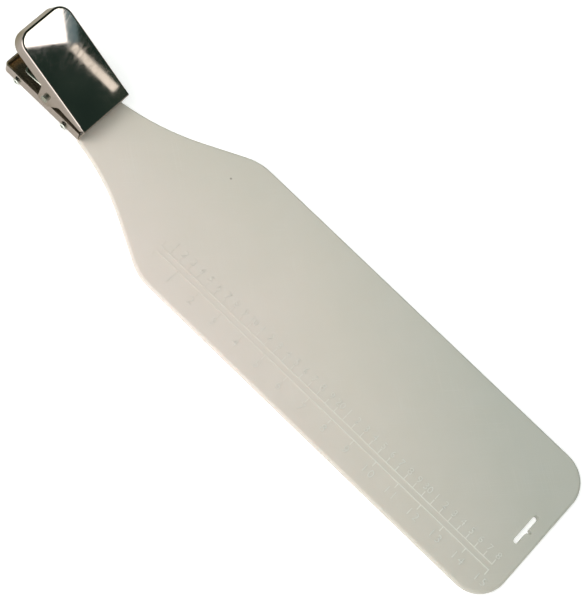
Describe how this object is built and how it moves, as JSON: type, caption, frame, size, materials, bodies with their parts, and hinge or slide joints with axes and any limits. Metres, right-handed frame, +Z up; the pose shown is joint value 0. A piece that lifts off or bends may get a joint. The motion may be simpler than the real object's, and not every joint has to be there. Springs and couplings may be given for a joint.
{
  "type": "fish filleting board",
  "caption": "Flat plastic filleting board with a tapered neck, hang slot and raised scale, and a sprung metal tail clamp that pivots open at the neck.",
  "frame": {"origin": "on the board's underside and centre line, under the zero of its scale", "axes": "+X along the board towards the free end with the hang slot, +Y across it away from the scale, +Z up"},
  "size_m": [0.6009, 0.1524, 0.0746],
  "materials": {
    "board_plastic": "satin, slightly translucent",
    "chrome_sheet": "mirror with fine scratches",
    "nickel_sheet": "satin nickel",
    "zinc_steel": "bright zinc",
    "spring_wire": "drawn wire"
  },
  "bodies": {
    "base": {"board": "board_plastic", "clamp_base": "nickel_sheet", "bearing_plate": "nickel_sheet", "pivot_pin": "zinc_steel", "pin_retainer": "zinc_steel", "ear_washer_near": "zinc_steel", "ear_washer_far": "zinc_steel", "torsion_spring": "spring_wire", "screw_near_front": "zinc_steel", "screw_near_rear": "zinc_steel", "screw_far_front": "zinc_steel", "screw_far_rear": "zinc_steel"},
    "lever": {"clamp_lever": "chrome_sheet"}
  },
  "joints": [
    {"name": "lever_hinge", "type": "hinge", "parent": "base", "child": "lever", "pos_m": [-0.15353, 0, 0.0279], "axis": [0, -1, 0], "range_deg": [0, 35], "stiffness_Nm_per_rad": 1.2, "springref_deg": -51.57, "deforming": ["torsion_spring"]}
  ]
}
